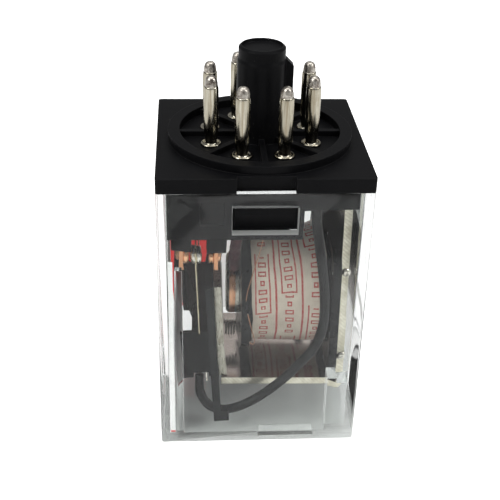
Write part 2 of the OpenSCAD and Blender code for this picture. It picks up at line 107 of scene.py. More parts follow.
def sharpen(piece, degrees=40):
    # edges that turn more than this stay crisp
    bm = bmesh.new()
    bm.from_mesh(piece.data)
    limit = math.radians(degrees)
    for e in bm.edges:
        e.smooth = len(e.link_faces) == 2 and e.calc_face_angle(0) < limit
    bm.to_mesh(piece.data)
    bm.free()


def lathe(profile, around, axis="z"):
    # each (radius, height) of the profile swung once round the axis
    a = np.linspace(0, 2 * math.pi, around, endpoint=False)
    r, h = profile[:, 0][:, None], profile[:, 1][:, None]
    x, y = r * np.cos(a), r * np.sin(a)
    z = np.broadcast_to(h, x.shape)
    stack = (x, y, z) if axis == "z" else (z, x, y)
    return np.stack(stack, -1)


def latheCaps(rows, around):
    return (list(range(around))[::-1], list(range((rows - 1) * around, rows * around)))


def smoothPath(points, count):
    # Catmull-Rom curve through the points, taken at count evenly spaced places
    p = np.asarray(points, float)
    p = np.vstack([2 * p[0] - p[1], p, 2 * p[-1] - p[-2]])
    u = np.linspace(0, len(p) - 3 - 1e-9, count)
    i = u.astype(int)
    t = (u - i)[:, None]
    a, b, c, d = p[i], p[i + 1], p[i + 2], p[i + 3]
    return 0.5 * (2 * b + (c - a) * t + (2 * a - 5 * b + 4 * c - d) * t**2
                  + (3 * b - a - 3 * c + d) * t**3)


def tubeGrid(path, radius, sides, up):
    # a ring of points across the path at each of its places; up never lies along the path
    t = np.gradient(path, axis=0)
    t /= np.linalg.norm(t, axis=1)[:, None]
    u = np.cross(t, up)
    u /= np.linalg.norm(u, axis=1)[:, None]
    v = np.cross(u, t)
    a = np.linspace(0, 2 * math.pi, sides, endpoint=False)[None, :, None]
    r = np.broadcast_to(np.asarray(radius, float).reshape(-1, 1, 1), (len(path), 1, 1))
    return path[:, None] + r * (np.cos(a) * u[:, None] + np.sin(a) * v[:, None])


def closeTube(name, grid, material, body):
    rows, sides = grid.shape[:2]
    faces = gridFaces(rows, sides, True)[:, ::-1]
    caps = (list(range(sides)), list(range((rows - 1) * sides, rows * sides))[::-1])
    return addPiece(name, grid, faces, material, body, caps)


def turned(faces, caps):
    # the same faces seen from the other side
    return faces[:, ::-1], tuple(c[::-1] for c in caps)


def mapWrapped(piece, rows, cols, step, height, flipped=False):
    # UV in mm, round and along a wrapped grid; the last column carries on past the seam, not back to nought
    i, j = np.meshgrid(np.arange(rows - 1), np.arange(cols), indexing="ij")
    corners = [(j, i), (j + 1, i), (j + 1, i + 1), (j, i + 1)]
    corners = corners[::-1] if flipped else corners
    flat = np.zeros((len(piece.data.loops), 2), np.float32)
    flat[:4 * i.size] = np.stack([np.stack([a * step, height[b]], -1) for a, b in corners], 2).reshape(-1, 2)
    uv = piece.data.uv_layers.new(name="UVMap")
    uv.data.foreach_set("uv", flat.ravel())


def ripple(a, b, seed, terms=6, most=6):
    # sum of a few whole-numbered waves of a and b with seeded phases, between about -1 and 1
    rng = np.random.default_rng(seed)
    m, n = rng.integers(1, most, terms), rng.integers(1, most, terms)
    phase = rng.uniform(0, 2 * math.pi, terms)
    size = rng.uniform(0.4, 1, terms)
    waves = size * np.sin(m * a[..., None] + n * b[..., None] + phase)
    return waves.sum(-1) / size.sum()


def beveled(name, source, material, width, body, degrees=35, segments=2):
    # the node's own shape with its flat triangles joined and its edges rounded
    bm = bmesh.new()
    bm.from_mesh(nodes[source].data)
    bmesh.ops.remove_doubles(bm, verts=bm.verts, dist=2e-6)
    bmesh.ops.dissolve_limit(bm, angle_limit=0.01, verts=bm.verts, edges=bm.edges)
    mesh = bpy.data.meshes.new(name)
    bm.to_mesh(mesh)
    bm.free()
    mesh.polygons.foreach_set("use_smooth", np.ones(len(mesh.polygons), bool))
    mesh.materials.append(material)
    piece = bpy.data.objects.new(name, mesh)
    bpy.context.scene.collection.objects.link(piece)
    edge = piece.modifiers.new("roundedEdges", "BEVEL")
    edge.width = width
    edge.segments = segments
    edge.limit_method = "ANGLE"
    edge.angle_limit = math.radians(degrees)
    edge.harden_normals = True
    edge.use_clamp_overlap = True
    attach(piece, body)
    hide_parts(source)
    return piece


# ---------- material helpers ----------
def put(tree, kind, inputs=None, **props):
    n = tree.nodes.new(kind)
    for key, value in props.items():
        setattr(n, key, value)
    for key, value in (inputs or {}).items():
        if isinstance(value, bpy.types.NodeSocket):
            tree.links.new(value, n.inputs[key])
        else:
            n.inputs[key].default_value = value
    return n


def calc(tree, operation, a, b=0.0, c=None):
    inputs = {0: a, 1: b}
    if c is not None:
        inputs[2] = c
    return put(tree, "ShaderNodeMath", inputs, operation=operation).outputs[0]


def spread(tree, value, low, high, toLow=0.0, toHigh=1.0):
    inputs = {"Value": value, "From Min": low, "From Max": high, "To Min": toLow, "To Max": toHigh}
    return put(tree, "ShaderNodeMapRange", inputs).outputs[0]


def blendColour(tree, share, a, b):
    n = put(tree, "ShaderNodeMix", data_type="RGBA")
    for index, value in ((0, share), (6, a), (7, b)):
        if isinstance(value, bpy.types.NodeSocket):
            tree.links.new(value, n.inputs[index])
        elif index:
            n.inputs[index].default_value = (*value, 1)
        else:
            n.inputs[index].default_value = value
    return n.outputs[2]


def noise(tree, vector, scale, detail=3.0, rough=0.5):
    inputs = {"Vector": vector, "Scale": scale, "Detail": detail, "Roughness": rough}
    return put(tree, "ShaderNodeTexNoise", inputs).outputs[0]


def cellPlace(tree, count, size):
    # how far a value is from the middle of its cell, and the cell's number; count is the value in cells
    number = calc(tree, "FLOOR", count)
    share = calc(tree, "SUBTRACT", calc(tree, "SUBTRACT", count, number), 0.5)
    return calc(tree, "MULTIPLY", share, size), number


def outside(tree, u, v, half):
    # how far a place is outside a box of the given half sizes, below nought inside it
    return calc(tree, "MAXIMUM", calc(tree, "SUBTRACT", u, half[0]), calc(tree, "SUBTRACT", v, half[1]))


def inMm(tree, where):
    axis = put(tree, "ShaderNodeSeparateXYZ", {0: where})
    return [calc(tree, "MULTIPLY", axis.outputs[i], 1 / mm) for i in range(3)]


def facing(tree, kind):
    return put(tree, "ShaderNodeSeparateXYZ", {0: put(tree, "ShaderNodeNewGeometry").outputs[kind]})


def raiseBump(tree, shader, strength, distance, height, normal=None):
    inputs = {"Strength": strength, "Distance": distance, "Height": height}
    if normal is not None:
        inputs["Normal"] = normal
    tree.links.new(put(tree, "ShaderNodeBump", inputs).outputs[0], shader.inputs["Normal"])


def startMaterial(name):
    mat = bpy.data.materials.new(name)
    mat.use_nodes = True
    tree = mat.node_tree
    tree.nodes.clear()
    shader = put(tree, "ShaderNodeBsdfPrincipled")
    out = put(tree, "ShaderNodeOutputMaterial", {"Surface": shader.outputs[0]})
    where = put(tree, "ShaderNodeTexCoord").outputs["Object"]
    return mat, tree, shader, out, where


def startGroup(name, inputs, outputs):
    tree = bpy.data.node_groups.new(name, "ShaderNodeTree")
    for label, kind in inputs:
        tree.interface.new_socket(name=label, in_out="INPUT", socket_type="NodeSocket" + kind)
    for label, kind in outputs:
        tree.interface.new_socket(name=label, in_out="OUTPUT", socket_type="NodeSocket" + kind)
    return tree, put(tree, "NodeGroupInput"), put(tree, "NodeGroupOutput")


def useGroup(tree, group, inputs):
    n = put(tree, "ShaderNodeGroup", node_tree=group)
    for key, value in inputs.items():
        if isinstance(value, bpy.types.NodeSocket):
            tree.links.new(value, n.inputs[key])
        else:
            n.inputs[key].default_value = value
    return n


def makeEdgeGroup():
    # rounds the shading of sharp edges and finds them: the mask is how far the rounded normal
    # leans from the face's own
    tree, given, out = startGroup("edgeWearAndHighlight", [("Radius", "Float")],
                                  [("Edge", "Float"), ("Normal", "Vector")])
    soft = put(tree, "ShaderNodeBevel", {"Radius": given.outputs["Radius"]}, samples=6)
    flat = put(tree, "ShaderNodeNewGeometry").outputs["True Normal"]
    lean = put(tree, "ShaderNodeVectorMath", {0: soft.outputs[0], 1: flat},
               operation="DOT_PRODUCT").outputs["Value"]
    # the edge mask places the paler edge colour, which is partly worn edges and partly a painted highlight
    tree.links.new(spread(tree, lean, 0.995, 0.8), out.inputs["Edge"])
    tree.links.new(soft.outputs[0], out.inputs["Normal"])
    return tree


def makeGrainGroup():
    # fine moulded grain, slow cloudiness and a few dust specks
    tree, given, out = startGroup(
        "mouldGrain", [("Vector", "Vector"), ("Grain", "Float"), ("Cloud", "Float")],
        [("Height", "Float"), ("Mottle", "Float"), ("Dust", "Float")])
    v = given.outputs["Vector"]
    fine = noise(tree, v, given.outputs["Grain"], 2.0, 0.6)
    cloud = noise(tree, v, given.outputs["Cloud"], 4.0, 0.6)
    cells = put(tree, "ShaderNodeTexVoronoi", {"Vector": v, "Scale": 1400.0}, feature="F1")
    speck = spread(tree, cells.outputs["Distance"], 0.13, 0.05)
    some = spread(tree, noise(tree, v, 420.0, 2.0), 0.6, 0.72)
    tree.links.new(fine, out.inputs["Height"])
    tree.links.new(spread(tree, cloud, 0.3, 0.7), out.inputs["Mottle"])
    tree.links.new(calc(tree, "MULTIPLY", speck, some), out.inputs["Dust"])
    return tree


def makeStreakGroup():
    # drawn or rolled metal: long fine streaks along the squeezed direction of the vector, and dull spots
    tree, given, out = startGroup(
        "drawnMetal", [("Vector", "Vector"), ("Along", "Vector"), ("Spot", "Float")],
        [("Streak", "Float"), ("Spots", "Float"), ("Height", "Float")])
    v = put(tree, "ShaderNodeVectorMath", {0: given.outputs["Vector"], 1: given.outputs["Along"]},
            operation="MULTIPLY").outputs[0]
    streak = noise(tree, v, 1.0, 4.0, 0.65)
    spots = noise(tree, given.outputs["Vector"], given.outputs["Spot"], 5.0, 0.65)
    tree.links.new(spread(tree, streak, 0.32, 0.68), out.inputs["Streak"])
    tree.links.new(spread(tree, spots, 0.5, 0.68), out.inputs["Spots"])
    tree.links.new(streak, out.inputs["Height"])
    return tree


edgeWearAndHighlight = makeEdgeGroup()
mouldGrain = makeGrainGroup()
drawnMetal = makeStreakGroup()
# depth of the finest relief, in metres
fineBump = 2e-5


def plastic(name, v):
    # moulded plastic: grain, cloudy sheen, paler edges that are partly worn and partly a painted highlight,
    # and a little dust
    mat, tree, shader, out, where = startMaterial(name)
    grain = useGroup(tree, mouldGrain, {"Vector": where, "Grain": v["grain"], "Cloud": v["cloud"]})
    edge = useGroup(tree, edgeWearAndHighlight, {"Radius": v["edge"]})
    # paler edges, partly worn and partly a painted highlight
    worn = calc(tree, "MULTIPLY", edge.outputs["Edge"], v["wearAndHighlight"])
    colour = blendColour(tree, grain.outputs["Mottle"], v["dark"], v["light"])
    colour = blendColour(tree, worn, colour, v["rubbedAndHighlit"])
    dust = calc(tree, "MULTIPLY", grain.outputs["Dust"], v["dust"])
    colour = blendColour(tree, dust, colour, v["dustColour"])
    tree.links.new(colour, shader.inputs["Base Color"])
    tree.links.new(spread(tree, grain.outputs["Mottle"], 0, 1, v["gloss"][0], v["gloss"][1]),
                   shader.inputs["Roughness"])
    raiseBump(tree, shader, v["bump"], fineBump, grain.outputs["Height"], edge.outputs["Normal"])
    shader.inputs["Specular IOR Level"].default_value = v["sheen"]
    return mat


def metal(name, v):
    # plated or bare metal: tint drifts along the drawing direction, spots are duller, edges brighter: partly
    # worn, partly a painted highlight
    mat, tree, shader, out, where = startMaterial(name)
    drawn = useGroup(tree, drawnMetal, {"Vector": where, "Along": v["along"], "Spot": v["spot"]})
    edge = useGroup(tree, edgeWearAndHighlight, {"Radius": v["edge"]})
    colour = blendColour(tree, drawn.outputs["Streak"], v["dark"], v["light"])
    colour = blendColour(tree, calc(tree, "MULTIPLY", drawn.outputs["Spots"], v["dull"]), colour, v["stain"])
    # paler edges, partly worn and partly a painted highlight
    colour = blendColour(tree, calc(tree, "MULTIPLY", edge.outputs["Edge"], v["wearAndHighlight"]), colour, v["rubbedAndHighlit"])
    if "reflectionBands" in v:
        # painted dark reflection in the stain colour, lengthwise on the sides that turn to the front and
        # back: its half width and strength
        half, strong = v["reflectionBands"]
        face = facing(tree, "Normal")
        stray = spread(tree, drawn.outputs["Streak"], 0, 1, -0.1, 0.2)
        off = calc(tree, "ABSOLUTE", calc(tree, "ADD", face.outputs[0], stray))
        reflectionBand = calc(tree, "MULTIPLY", spread(tree, off, half * 1.6, half * 0.4), strong)
        upright = spread(tree, calc(tree, "ABSOLUTE", face.outputs[2]), 0.3, 0.1)
        colour = blendColour(tree, calc(tree, "MULTIPLY", reflectionBand, upright), colour, v["stain"])
    tree.links.new(colour, shader.inputs["Base Color"])
    rough = spread(tree, drawn.outputs["Streak"], 0, 1, v["rough"][0], v["rough"][1])
    rough = calc(tree, "ADD", rough, calc(tree, "MULTIPLY", drawn.outputs["Spots"], 0.18 * v["dull"]))
    tree.links.new(rough, shader.inputs["Roughness"])
    raiseBump(tree, shader, v["bump"], fineBump, drawn.outputs["Height"], edge.outputs["Normal"])
    shader.inputs["Metallic"].default_value = 1.0
    return mat


def yokeFinish(v):
    # plated sheet: its broad faces are a dark mirror, and its cut edges, which face front and back,
    # are pale and ruled
    mat = metal("yokeIron", v)
    tree = mat.node_tree
    shader = next(n for n in tree.nodes if n.type == "BSDF_PRINCIPLED")
    broad = shader.inputs["Base Color"].links[0].from_socket
    broadRough = shader.inputs["Roughness"].links[0].from_socket
    where = put(tree, "ShaderNodeTexCoord").outputs["Object"]
    face = facing(tree, "True Normal")
    cut = calc(tree, "GREATER_THAN", calc(tree, "ABSOLUTE", face.outputs[1]), 0.5)
    axis = put(tree, "ShaderNodeSeparateXYZ", {0: where})
    slant = calc(tree, "ADD", axis.outputs[2], axis.outputs[0])
    ruled = calc(tree, "SINE", calc(tree, "MULTIPLY", slant, v["rule"]))
    worn = spread(tree, noise(tree, where, 700.0, 4.0, 0.65), 0.35, 0.65)
    pale = blendColour(tree, worn, v["pale"][0], v["pale"][1])
    pale = blendColour(tree, spread(tree, ruled, 0.2, 1, 0, 0.35), pale, v["stain"])
    tree.links.new(blendColour(tree, cut, broad, pale), shader.inputs["Base Color"])
    tree.links.new(calc(tree, "MULTIPLY_ADD", cut, 0.2, broadRough), shader.inputs["Roughness"])
    return mat


plasticSet = {
    # the paler edge colour and its share are partly worn edges and partly a painted highlight
    "dark": (0.0024, 0.0025, 0.0030), "light": (0.0050, 0.0050, 0.0056), "rubbedAndHighlit": (0.022, 0.022, 0.023),
    "grain": 5200.0, "cloud": 160.0, "edge": 0.0002, "wearAndHighlight": 0.5, "dust": 0.3,
    "dustColour": (0.3, 0.29, 0.27), "gloss": (0.36, 0.5), "bump": 0.1, "sheen": 0.06,
}
metalSet = {
    "dark": (0.45, 0.42, 0.36), "light": (0.72, 0.69, 0.62), "stain": (0.34, 0.29, 0.22),
    # the paler edge colour and its share are partly worn edges and partly a painted highlight
    "rubbedAndHighlit": (0.86, 0.84, 0.78), "along": (900.0, 900.0, 120.0), "spot": 500.0, "dull": 0.5,
    "edge": 0.00012, "wearAndHighlight": 0.5, "rough": (0.14, 0.3), "bump": 0.25,
}

basePlastic = plastic("baseMoulding", plasticSet)
blockPlastic = plastic("contactMoulding", {**plasticSet, "dark": (0.009, 0.009, 0.010),
                       "light": (0.018, 0.018, 0.019), "gloss": (0.5, 0.62), "dust": 0.2})
cardPlastic = plastic("cardMoulding", {**plasticSet, "dark": (0.014, 0.015, 0.016),
                      "light": (0.024, 0.025, 0.026), "gloss": (0.4, 0.55)})
bobbinPlastic = plastic("bobbinMoulding", {**plasticSet, "dark": (0.004, 0.004, 0.005),
                        "light": (0.008, 0.008, 0.009), "gloss": (0.16, 0.3), "sheen": 0.2, "cloud": 420.0})
# the pins carry a painted dark reflection down their front and back sides
pinNickel = metal("pinNickel", {**metalSet, "dark": (0.24, 0.21, 0.15), "light": (0.62, 0.59, 0.49),
                  "stain": (0.24, 0.19, 0.12), "along": (1100.0, 1100.0, 90.0), "rough": (0.1, 0.2),
                  "dull": 0.35, "bump": 0.08, "reflectionBands": (0.13, 0.6)})
yokeIron = yokeFinish({**metalSet, "rule": 9000.0, "pale": ((0.62, 0.58, 0.45), (0.88, 0.85, 0.72)),
                       "dark": (0.40, 0.34, 0.32), "light": (0.50, 0.44, 0.41), "rubbedAndHighlit": (0.88, 0.86, 0.76),
                       "along": (200.0, 700.0, 200.0), "rough": (0.09, 0.16), "wearAndHighlight": 0.9, "dull": 0.35,
                       "bump": 0.12})
coreIron = metal("coreIron", {**metalSet, "rough": (0.2, 0.34), "along": (1800.0, 400.0, 400.0)})
armatureIron = metal("armatureIron", {**metalSet, "dark": (0.36, 0.34, 0.28), "light": (0.62, 0.60, 0.52),
                     "along": (2600.0, 2600.0, 500.0), "rough": (0.22, 0.4), "dull": 0.8})
rivetBright = metal("rivetBright", {**metalSet, "dark": (0.66, 0.63, 0.55), "light": (0.86, 0.84, 0.77),
                    "rough": (0.12, 0.24)})
contactSilver = metal("contactSilver", {**metalSet, "dark": (0.80, 0.76, 0.66), "light": (0.96, 0.93, 0.85),
                      "rough": (0.16, 0.28), "dull": 0.2, "bump": 0.1})
copperBright = metal("contactCopper", {**metalSet, "dark": (0.78, 0.38, 0.19), "light": (0.97, 0.60, 0.37),
                     "stain": (0.36, 0.15, 0.07), "rubbedAndHighlit": (0.95, 0.62, 0.42), "rough": (0.16, 0.3)})
copperStrip = metal("stripCopper", {**metalSet, "dark": (0.56, 0.25, 0.12), "light": (0.80, 0.42, 0.24),
                    "stain": (0.25, 0.11, 0.06), "rubbedAndHighlit": (0.86, 0.52, 0.34), "rough": (0.24, 0.4),
                    "along": (900.0, 900.0, 150.0)})
shadingCopper = metal("shadingCopper", {**metalSet, "dark": (0.50, 0.24, 0.13), "light": (0.80, 0.46, 0.29),
                      "stain": (0.3, 0.14, 0.08), "rubbedAndHighlit": (0.92, 0.62, 0.44), "rough": (0.22, 0.36)})
springBronze = metal("springBronze", {**metalSet, "dark": (0.52, 0.44, 0.28), "light": (0.78, 0.70, 0.5),
                     "stain": (0.4, 0.3, 0.15), "rough": (0.16, 0.28), "along": (900.0, 2400.0, 120.0)})
wireCopper = metal("wireCopper", {**metalSet, "dark": (0.34, 0.15, 0.08), "light": (0.56, 0.29, 0.17),
                   "stain": (0.26, 0.11, 0.05), "rough": (0.28, 0.4), "edge": 0.00002})
springSteel = metal("springSteel", {**metalSet, "dark": (0.4, 0.4, 0.38), "light": (0.66, 0.65, 0.62),
                    "edge": 0.00002})
print("plain finishes made")


def solderFinish():
    # tinned tips: lumpy, mottled between bright tin and brown flux
    mat, tree, shader, out, where = startMaterial("tipSolder")
    lumps = noise(tree, where, 900.0, 5.0, 0.7)
    flux = spread(tree, noise(tree, where, 1500.0, 4.0, 0.7), 0.44, 0.66)
    colour = blendColour(tree, flux, (0.50, 0.47, 0.42), (0.15, 0.12, 0.10))
    tree.links.new(colour, shader.inputs["Base Color"])
    tree.links.new(spread(tree, lumps, 0.3, 0.7, 0.2, 0.55), shader.inputs["Roughness"])
    raiseBump(tree, shader, 0.45, 5e-5, lumps)
    shader.inputs["Metallic"].default_value = 1.0
    return mat


def rubberFinish():
    # matt black lead covering with a faint lengthwise sheen
    mat, tree, shader, out, where = startMaterial("leadCovering")
    fine = noise(tree, where, 4200.0, 3.0, 0.6)
    scuff = spread(tree, noise(tree, where, 380.0, 4.0, 0.65), 0.35, 0.7)
    colour = blendColour(tree, scuff, (0.007, 0.0075, 0.008), (0.015, 0.016, 0.017))
    tree.links.new(colour, shader.inputs["Base Color"])
    tree.links.new(spread(tree, scuff, 0, 1, 0.34, 0.5), shader.inputs["Roughness"])
    raiseBump(tree, shader, 0.3, fineBump, fine)
    shader.inputs["Specular IOR Level"].default_value = 0.2
    return mat


def sleeveFinish():
    # varnished woven sleeve: two crossing sets of threads, about ten to the mm
    threads = 60.0
    mat, tree, shader, out, where = startMaterial("wovenSleeve")
    axis = put(tree, "ShaderNodeSeparateXYZ", {0: put(tree, "ShaderNodeUVMap").outputs[0]})
    slants = [calc(tree, way, axis.outputs[0], axis.outputs[1]) for way in ("ADD", "SUBTRACT")]
    weave = calc(tree, "MAXIMUM", *[calc(tree, "SINE", calc(tree, "MULTIPLY", w, threads)) for w in slants])
    stain = spread(tree, noise(tree, where, 700.0, 4.0, 0.6), 0.35, 0.65)
    colour = blendColour(tree, stain, (0.22, 0.060, 0.085), (0.46, 0.17, 0.19))
    colour = blendColour(tree, spread(tree, weave, 0.1, 1.0, 0.0, 0.5), (0.03, 0.012, 0.014), colour)
    tree.links.new(colour, shader.inputs["Base Color"])
    tree.links.new(spread(tree, weave, -1, 1, 0.6, 0.38), shader.inputs["Roughness"])
    raiseBump(tree, shader, 0.6, 6e-5, weave)
    return mat


tapeSet = {
    # ruled lines: their pitch along the coil, the first one's place and the half width; soft is the blur
    "pitch": 4.45, "shift": 3.05, "line": 0.15, "soft": 0.04, "wander": 0.12,
    # outlined boxes, one to each period round the coil, and how far inside their ends the bars stop
    "period": 19.5, "boxHalf": (5.15, 1.22), "boxLine": 0.15, "margin": (0.75, 1.0),
    # bars: pitch, half sizes, the short ones' share, and the outline's place, outer and inner edge
    "bar": 1.45, "barHalf": (0.43, 0.74), "short": 0.55, "ring": (0.13, 0.14, 0.10),
    # how far the print slips round the coil: at lane nought, with each lane, and past the first lane
    "slip": (-1.905, 3.38, 3.95),
    "wire": 24.0, "paper": (0.76, 0.68, 0.57), "paperDark": (0.52, 0.44, 0.36), "ink": (0.42, 0.028, 0.025),
}


def tapeFinish(v):
    # printed coil tape. The UV map gives mm round the coil and mm along it: ruled lines every pitch,
    # and in each lane outlined boxes by turns with rows of plain bars
    mat, tree, shader, out, where = startMaterial("printedTape")
    uv = put(tree, "ShaderNodeSeparateXYZ", {0: put(tree, "ShaderNodeUVMap").outputs[0]})
    wobble = noise(tree, where, 260.0, 2.0)
    along = calc(tree, "ADD", uv.outputs[1], spread(tree, wobble, 0, 1, -v["wander"], v["wander"]))
    lane = calc(tree, "DIVIDE", calc(tree, "SUBTRACT", along, v["shift"]), v["pitch"])
    across, number = cellPlace(tree, lane, v["pitch"])
    wide = calc(tree, "ABSOLUTE", across)
    rim = v["pitch"] / 2 - v["line"]
    ruled = spread(tree, wide, rim - v["soft"], rim)
    slip = calc(tree, "MULTIPLY_ADD", number, v["slip"][1], v["slip"][0])
    slip = calc(tree, "MULTIPLY_ADD", calc(tree, "GREATER_THAN", number, 0.5), v["slip"][2], slip)
    turn = calc(tree, "DIVIDE", calc(tree, "ADD", uv.outputs[0], slip), v["period"])
    place = cellPlace(tree, turn, v["period"])[0]
    # place runs from -period/2 to period/2: a box is centred at -period/4 and loose bars at period/4
    boxU = calc(tree, "ABSOLUTE", calc(tree, "ADD", place, v["period"] / 4))
    barU = calc(tree, "ABSOLUTE", calc(tree, "SUBTRACT", place, v["period"] / 4))
    far = outside(tree, boxU, wide, v["boxHalf"])
    outline = spread(tree, calc(tree, "ABSOLUTE", far), v["boxLine"], v["boxLine"] - v["soft"])
    inBar, cell = cellPlace(tree, calc(tree, "DIVIDE", place, v["bar"]), v["bar"])
    odd = calc(tree, "MODULO", calc(tree, "ABSOLUTE", cell), 3.0)
    odd = calc(tree, "ABSOLUTE", calc(tree, "SUBTRACT", odd, 1.0))
    barWide = spread(tree, odd, 0, 1, v["barHalf"][1] * v["short"], v["barHalf"][1])
    barFar = outside(tree, calc(tree, "ABSOLUTE", inBar), wide, (v["barHalf"][0], barWide))
    ring = calc(tree, "ABSOLUTE", calc(tree, "ADD", barFar, v["ring"][0]))
    bars = spread(tree, ring, v["ring"][1], v["ring"][2])
    room = calc(tree, "MAXIMUM", calc(tree, "LESS_THAN", boxU, v["boxHalf"][0] - v["margin"][0]),
                calc(tree, "LESS_THAN", barU, v["boxHalf"][0] - v["margin"][1]))
    ink = calc(tree, "MAXIMUM", calc(tree, "MAXIMUM", ruled, outline), calc(tree, "MULTIPLY", bars, room))
    patchy = spread(tree, noise(tree, where, 2600.0, 3.0, 0.7), 0.3, 0.6, 0.65, 1.0)
    ink = calc(tree, "MULTIPLY", ink, patchy)
    # the turns of wire show faintly through the tape
    turns = calc(tree, "SINE", calc(tree, "MULTIPLY", uv.outputs[1], v["wire"]))
    shade = spread(tree, noise(tree, where, 240.0, 4.0, 0.6), 0.3, 0.7)
    shade = calc(tree, "MULTIPLY", shade, spread(tree, turns, -1, 1, 0.8, 1.0))
    colour = blendColour(tree, shade, v["paperDark"], v["paper"])
    tree.links.new(blendColour(tree, ink, colour, v["ink"]), shader.inputs["Base Color"])
    tree.links.new(spread(tree, shade, 0, 1, 0.42, 0.3), shader.inputs["Roughness"])
    height = calc(tree, "ADD", calc(tree, "MULTIPLY", turns, 0.25), noise(tree, where, 1100.0, 4.0, 0.6))
    raiseBump(tree, shader, 0.35, 8e-5, height)
    return mat


def windingFinish():
    # enamelled wire wound close, six turns to the mm along the coil
    wires = 38000.0
    mat, tree, shader, out, where = startMaterial("enamelledWinding")
    x = put(tree, "ShaderNodeSeparateXYZ", {0: where}).outputs[0]
    turns = calc(tree, "SINE", calc(tree, "MULTIPLY", x, wires))
    shade = spread(tree, noise(tree, where, 500.0, 4.0, 0.6), 0.3, 0.7)
    colour = blendColour(tree, shade, (0.16, 0.045, 0.02), (0.34, 0.12, 0.05))
    tree.links.new(colour, shader.inputs["Base Color"])
    tree.links.new(spread(tree, shade, 0, 1, 0.2, 0.36), shader.inputs["Roughness"])
    raiseBump(tree, shader, 0.7, 5e-5, turns)
    shader.inputs["Metallic"].default_value = 0.6
    return mat


filmSet = {
    "paper": (0.88, 0.88, 0.87), "fibre": 0.9, "soft": 0.03,
    # how far off the middle the film's painted glow dims, in mm: where it is dimmest, where it begins, and
    # its share there
    "rim": (15.3, 15.1, 0.3), "facing": -0.3,
}


def labelFinish(name, flat, regions, lit):
    # film label: each region is (low corner, high corner, colour) in mm on the wall; flat is its level axis
    v = filmSet
    mat, tree, shader, out, where = startMaterial(name)
    place = inMm(tree, where)
    fibre = spread(tree, noise(tree, where, 900.0, 4.0, 0.6), 0.3, 0.7)
    colour = blendColour(tree, fibre, tuple(c * v["fibre"] for c in v["paper"]), v["paper"])
    for low, high, ink in regions:
        half = [(b - a) / 2 for a, b in zip(low, high)]
        off = [calc(tree, "ABSOLUTE", calc(tree, "SUBTRACT", place[k], (a + b) / 2))
               for k, a, b in zip((flat, 2), low, high)]
        inked = spread(tree, outside(tree, *off, half), v["soft"], -v["soft"])
        colour = blendColour(tree, inked, colour, ink)
    tree.links.new(colour, shader.inputs["Base Color"])
    # painted glow: an emission stands in for light coming through the thin film, on the face that looks to
    # the front
    inside = calc(tree, "LESS_THAN", facing(tree, "Normal").outputs[1], v["facing"])
    tree.links.new(colour, shader.inputs["Emission Color"])
    far, near, least = v["rim"]
    rim = spread(tree, calc(tree, "ABSOLUTE", place[flat]), far, near, least, 1.0)
    glow = calc(tree, "MULTIPLY", calc(tree, "MULTIPLY", inside, lit), rim)
    tree.links.new(glow, shader.inputs["Emission Strength"])
    tree.links.new(spread(tree, fibre, 0, 1, 0.38, 0.5), shader.inputs["Roughness"])
    raiseBump(tree, shader, 0.1, fineBump, fibre)
    return mat


coverSet = {
    "tint": (0.90, 0.915, 0.91), "shadow": (0.80, 0.81, 0.80), "ior": 1.44, "glint": (0.6, 0.6, 0.6),
    "haze": (0.015, 0.09),
    # half width, sill and top of the snap windows, in mm, and how far the sawn edges' frosting reaches
    "window": (5.1, 41.5, 45.95), "frost": 0.3,
    # shares of that reach: drawn in at the sides and the top, and full; the faces lie past this depth in Y
    "drawnIn": (0.55, 0.75), "full": 0.4, "face": 15.2,
    "sawn": (0.34, 0.35, 0.34), "sawnShare": 0.7, "sawnRough": 0.5,
}


def coverFinish(v):
    # clear styrene; lamps shine through it, so that what is inside is lit
    mat, tree, shader, out, where = startMaterial("clearStyrene")
    haze = spread(tree, noise(tree, where, 300.0, 5.0, 0.7), 0.45, 0.8, *v["haze"])
    slow = noise(tree, where, 55.0, 2.0, 0.5)
    shader.inputs["Base Color"].default_value = (*v["tint"], 1)
    shader.inputs["Transmission Weight"].default_value = 1.0
    shader.inputs["IOR"].default_value = v["ior"]
    shader.inputs["Specular Tint"].default_value = (*v["glint"], 1)
    x, y, z = inMm(tree, where)
    half, sill, top = v["window"]
    wide = calc(tree, "SUBTRACT", calc(tree, "ABSOLUTE", x), half)
    wide = calc(tree, "ADD", wide, v["frost"] * v["drawnIn"][0])
    below = calc(tree, "SUBTRACT", sill, z)
    above = calc(tree, "ADD", calc(tree, "SUBTRACT", z, top), v["frost"] * v["drawnIn"][1])
    far = calc(tree, "MAXIMUM", wide, calc(tree, "MAXIMUM", below, above))
    deep = calc(tree, "GREATER_THAN", calc(tree, "ABSOLUTE", y), v["face"])
    frost = calc(tree, "MULTIPLY", spread(tree, far, v["frost"], v["frost"] * v["full"]), deep)
    tree.links.new(calc(tree, "MULTIPLY_ADD", frost, v["sawnRough"], haze), shader.inputs["Roughness"])
    raiseBump(tree, shader, 0.25, 3e-5, slow)
    clear = put(tree, "ShaderNodeBsdfTransparent", {"Color": (*v["shadow"], 1)})
    lamp = put(tree, "ShaderNodeLightPath").outputs["Is Shadow Ray"]
    rough = put(tree, "ShaderNodeBsdfDiffuse", {"Color": (*v["sawn"], 1)})
    share = calc(tree, "MULTIPLY", frost, v["sawnShare"])
    sawn = put(tree, "ShaderNodeMixShader", {0: share, 1: shader.outputs[0], 2: rough.outputs[0]})
    mix = put(tree, "ShaderNodeMixShader", {0: lamp, 1: sawn.outputs[0], 2: clear.outputs[0]})
    tree.links.new(mix.outputs[0], out.inputs["Surface"])
    return mat


